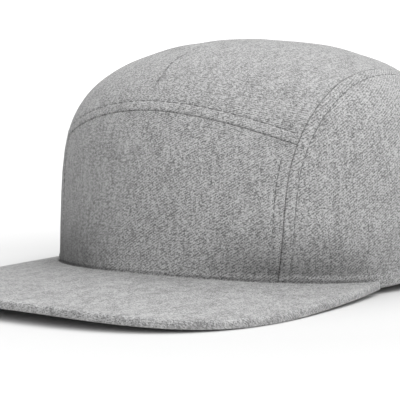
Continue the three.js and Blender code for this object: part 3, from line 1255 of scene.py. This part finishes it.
# %% Node helpers
class Nodes:
    """Adds nodes to a material and links what they are given."""

    def __init__(self, name):
        self.material = bpy.data.materials.new(name)
        self.material.use_nodes = True
        self.tree = self.material.node_tree
        self.shader = self.tree.nodes["Principled BSDF"]

    def feed(self, socket, value):
        """Links a socket to another node's output, or sets it to a value."""
        if isinstance(value, bpy.types.NodeSocket):
            self.tree.links.new(value, socket)
        else:
            socket.default_value = value

    def node(self, kind, inputs=(), **options):
        """A node with its inputs, given by name or number, and its options."""
        node = self.tree.nodes.new("ShaderNode" + kind)
        for name, value in options.items():
            setattr(node, name, value)
        for key, value in dict(inputs).items():
            self.feed(node.inputs[key], value)
        return node

    def math(self, operation, *values):
        return self.node("Math", enumerate(values), operation=operation).outputs[0]

    def times(self, a, b):
        return self.math("MULTIPLY", a, b)

    def plus(self, a, b):
        return self.math("ADD", a, b)

    def scaled(self, value, factor, base):
        return self.math("MULTIPLY_ADD", value, factor, base)

    def vector(self, x, y, z=0.0):
        return self.node("CombineXYZ", enumerate((x, y, z))).outputs[0]

    def noise(self, vector, scale=1.0, detail=1.0, roughness=0.5):
        inputs = {"Vector": vector, "Scale": scale, "Detail": detail, "Roughness": roughness}
        return self.node("TexNoise", inputs).outputs["Fac"]

    def mix(self, share, a, b):
        return self.node("Mix", {0: share, 2: a, 3: b}, data_type="FLOAT").outputs[0]

    def blend(self, share, start, end):
        return self.node("Mix", {0: share, 6: start, 7: end}, data_type="RGBA").outputs[2]

    def grey(self, share, dark, light):
        return self.blend(share, (dark, dark, dark, 1), (light, light, light, 1))

    def bump(self, height, distance, strength=1.0):
        inputs = {"Strength": strength, "Distance": distance, "Height": height}
        return self.node("Bump", inputs).outputs[0]

    def object_place(self):
        return self.node("TexCoord").outputs["Object"]

    def cloth_place(self):
        """The place on the flat cloth and its two directions, in metres."""
        place = self.node("UVMap", uv_map="cloth").outputs[0]
        split = self.node("SeparateXYZ", {0: place})
        return place, split.outputs[0], split.outputs[1]

    def finish(self, sockets):
        """The material, with the shader's sockets fed by name."""
        for name, value in sockets.items():
            self.feed(self.shader.inputs[name], value)
        return self.material


def wear(piece, material):
    piece.data.materials.clear()
    piece.data.materials.append(material)


# %% [markdown]
# One tone, from dark to light grey, is added up for the finished twill: first the streaks of the
# thread that lies on top, and then patches in four sizes, from less than a millimetre to the width
# of a finger. Last, the painted shade stored on the mesh darkens the colour.

# %% Twill material
warp_pitch = 0.42 * MM
weft_pitch = 0.285 * MM
weave_repeat = 4
# Under half of the repeat, which takes two of its four threads
weft_on_top_share = 0.4
drift_scale = 55
drift_reach = 1.6 * MM
# Threads are set far apart in the noise, so that neighbours have streaks of their own
thread_apart = 7.31
streak_scale = 1300
streak_contrast = 2.6


def heathered_twill(name, dark, light, seed, slant=0.15, heather=1.0,
                    slubs=(750, 130, 5, 0.8), clouds=0.5, painted_shade=False):
    """Twill between a dark and a light grey; slubs are (scale across, scale up, shift, strength)."""
    nodes = Nodes(name)
    place, across, up = nodes.cloth_place()
    drift = nodes.scaled(nodes.noise(place, drift_scale), drift_reach, seed * MM)
    across = nodes.plus(across, drift)
    up = nodes.plus(up, nodes.times(drift, 0.7))
    warp = nodes.math("DIVIDE", across, warp_pitch)
    weft = nodes.math("DIVIDE", up, weft_pitch)
    warp_count, weft_count = nodes.math("FLOOR", warp), nodes.math("FLOOR", weft)
    shifted = nodes.math("SUBTRACT", warp_count, weft_count)
    in_repeat = nodes.math("FRACT", nodes.math("DIVIDE", shifted, weave_repeat))
    weft_on_top = nodes.math("LESS_THAN", in_repeat, weft_on_top_share)

    def thread_tone(count, along_thread, shift):
        where = nodes.vector(
            nodes.times(count, thread_apart), nodes.times(along_thread, streak_scale), seed + shift,
        )
        streaks = nodes.math("SUBTRACT", nodes.noise(where, roughness=0.6), 0.5)
        return nodes.scaled(streaks, streak_contrast, 0.5)

    def patches(across_scale, up_scale, shift, strength):
        where = nodes.vector(nodes.times(across, across_scale), nodes.times(up, up_scale), seed + shift)
        return nodes.scaled(nodes.noise(where, detail=2.0, roughness=0.6), strength, -strength / 2)

    def roundness(threads):
        return nodes.math("SINE", nodes.times(nodes.math("FRACT", threads), math.pi))

    warp_tone = nodes.math("SUBTRACT", thread_tone(warp_count, up, 1.7), slant)
    weft_tone = nodes.plus(thread_tone(weft_count, across, 9.2), slant)
    tone = nodes.mix(weft_on_top, warp_tone, weft_tone)
    for patch in (
        (1400, 1700, 4, 1.2 * heather), slubs, (640, 1250, 6, 1.6 * heather), (170, 60, 8, clouds),
    ):
        tone = nodes.plus(tone, patches(*patch))
    colour = nodes.grey(tone, dark, light)
    # Painted shade: the stored attribute blends the colour towards black
    if painted_shade:
        mark = nodes.node("Attribute", attribute_name="painted_shade")
        colour = nodes.blend(mark.outputs["Fac"], colour, (0, 0, 0, 1))
    relief_height = nodes.mix(weft_on_top, roundness(warp), nodes.times(roundness(weft), 0.8))
    return nodes.finish({
        "Base Color": colour,
        "Normal": nodes.bump(relief_height, 0.07 * MM, 0.8),
        "Roughness": nodes.scaled(tone, -0.08, 0.95),
        "Specular IOR Level": 0.2,
        "Sheen Weight": 0.12,
        "Sheen Roughness": 0.6,
    })


crown_twill = heathered_twill("crown_heathered_twill", 0.12, 0.455, seed=3.0, painted_shade=True)
visor_twill = heathered_twill("visor_heathered_twill", 0.13, 0.44, seed=21.0, slant=0.1, heather=0.62,
                              slubs=(330, 230, 5, 0.8), clouds=0.75)
for piece in (front_piece, top_piece, back_piece, left_piece, right_piece):
    wear(piece, crown_twill)
wear(visor_piece, visor_twill)
print("twill with", len(crown_twill.node_tree.nodes), "nodes")

# %% [markdown]
# The thread of the stitches is a darker grey, partly its own colour and partly painted shade for the
# dimples it sits in, and has a fine twist. The strap is a flat webbing with ribs across it, and the
# buckle is brushed metal with long fine scratches.

# %% Thread, webbing and metal
rib_pitch = 1.1 * MM
yarn_pitch = 0.7 * MM
scratch_scale = (120, 3000, 3000)


def thread_material():
    nodes = Nodes("grey_sewing_thread")
    twist = nodes.noise(nodes.object_place(), 2600, 2.0)
    return nodes.finish({
        # Darker than the cloth: the thread's own grey, and painted shade for the dimples it sits in
        "Base Color": nodes.grey(twist, 0.06, 0.16),
        "Normal": nodes.bump(twist, 0.05 * MM),
        "Roughness": 0.7,
    })


def webbing_material():
    nodes = Nodes("ribbed_grey_webbing")
    _, across, up = nodes.cloth_place()
    rib, yarn = (
        nodes.math("SINE", nodes.times(place, 2 * math.pi / pitch))
        for place, pitch in ((across, rib_pitch), (up, yarn_pitch))
    )
    weave = nodes.scaled(nodes.times(rib, yarn), 0.25, 0.5)
    streaks = nodes.noise(nodes.vector(nodes.times(across, 250), nodes.times(up, 1500)), detail=2.0)
    tone = nodes.plus(nodes.times(weave, 0.6), nodes.times(streaks, 0.5))
    return nodes.finish({
        "Base Color": nodes.grey(tone, 0.16, 0.38),
        "Normal": nodes.bump(nodes.plus(weave, nodes.times(rib, 0.2)), 0.15 * MM),
        "Roughness": nodes.scaled(streaks, -0.15, 0.9),
    })


def metal_material():
    nodes = Nodes("brushed_steel")
    stretched = nodes.node("Mapping", {"Scale": scratch_scale, "Vector": nodes.object_place()})
    brushed = nodes.noise(stretched.outputs[0], detail=3.0)
    return nodes.finish({
        "Base Color": nodes.grey(brushed, 0.28, 0.42),
        "Roughness": nodes.scaled(brushed, 0.25, 0.22),
        "Normal": nodes.bump(brushed, 0.01 * MM),
        "Metallic": 1,
    })


thread_grey = thread_material()
for piece in stitch_pieces:
    wear(piece, thread_grey)
wear(strap_piece, webbing_material())
wear(buckle_piece, metal_material())
print(len(stitch_pieces), "pieces of thread, a webbing strap and a steel buckle")

# %% [markdown]
# ## Floor and light
#
# The cap stands in a white room. Most of its light comes from a very wide soft light overhead and
# a little behind, so the visor and the top are light and the shadow comes forward under the hem. A
# second soft light from the side lets the front fall off, and a weak one fills the front. The room
# itself gives less light than it shows, so the cloth keeps its depth. The floor's colour holds
# painted shade: it is a light grey near the cap and turns white further out.

# %% Floor
floor_size = 30
floor_shaded_near, floor_far = 0.585, 0.70
floor_shade_sweep = (0.15, 0.36)


def floor_material():
    nodes = Nodes("studio_white_floor")
    far = nodes.node("VectorMath", {0: nodes.object_place()}, operation="LENGTH").outputs["Value"]
    sweep = nodes.node("MapRange", {"Value": far, "From Min": floor_shade_sweep[0], "From Max": floor_shade_sweep[1]})
    # Painted shade: the floor's grey is darker near the cap and lightens further out
    colour = nodes.grey(sweep.outputs["Result"], floor_shaded_near, floor_far)
    return nodes.finish({"Base Color": colour, "Roughness": 0.9})


bpy.ops.object.select_all(action="DESELECT")
bpy.ops.mesh.primitive_plane_add(size=floor_size, location=(0, 0, 0))
floor = bpy.context.object
floor.name = "studio_floor"
wear(floor, floor_material())
print("floor", floor_size, "m wide")

# %% [markdown]
# A far light with a wide disc acts as a softbox: its shadows have soft edges. The room has two
# shaders, one for the light that it gives and a brighter one for what is seen of it.

# %% Room and lights
room_glow = 0.40
room_white = 1.2
softbox_spread = math.radians(60)
lamp_distance = 2

world = bpy.data.worlds.new("studio_room")
bpy.context.scene.world = world
world.use_nodes = True
room = world.node_tree
glow, seen = room.nodes["Background"], room.nodes.new("ShaderNodeBackground")
for background, strength in ((glow, room_glow), (seen, room_white)):
    background.inputs["Color"].default_value = (1, 1, 1, 1)
    background.inputs["Strength"].default_value = strength
choice = room.nodes.new("ShaderNodeMixShader")
ray = room.nodes.new("ShaderNodeLightPath")
for k, output in enumerate((ray.outputs["Is Camera Ray"], glow.outputs[0], seen.outputs[0])):
    room.links.new(output, choice.inputs[k])
room.links.new(choice.outputs[0], room.nodes["World Output"].inputs[0])


def soft_sun(name, turn, rise, strength):
    """A far light with a wide disc; turn 0 is the front and positive turns go to the cap's left side."""
    data = bpy.data.lights.new(name, "SUN")
    data.angle = softbox_spread
    data.energy = strength
    way = way_from_cap(math.radians(turn), math.radians(rise))
    lamp = add_object(name, data)
    lamp.location = way * lamp_distance
    lamp.rotation_euler = way.to_track_quat("Z", "Y").to_euler()


soft_sun("overhead_softbox", 172, 67, 3.0)
soft_sun("side_softbox", 54, 34, 1.95)
soft_sun("front_fill", 20, 8, 0.45)
bpy.context.scene.view_settings.view_transform = "Standard"
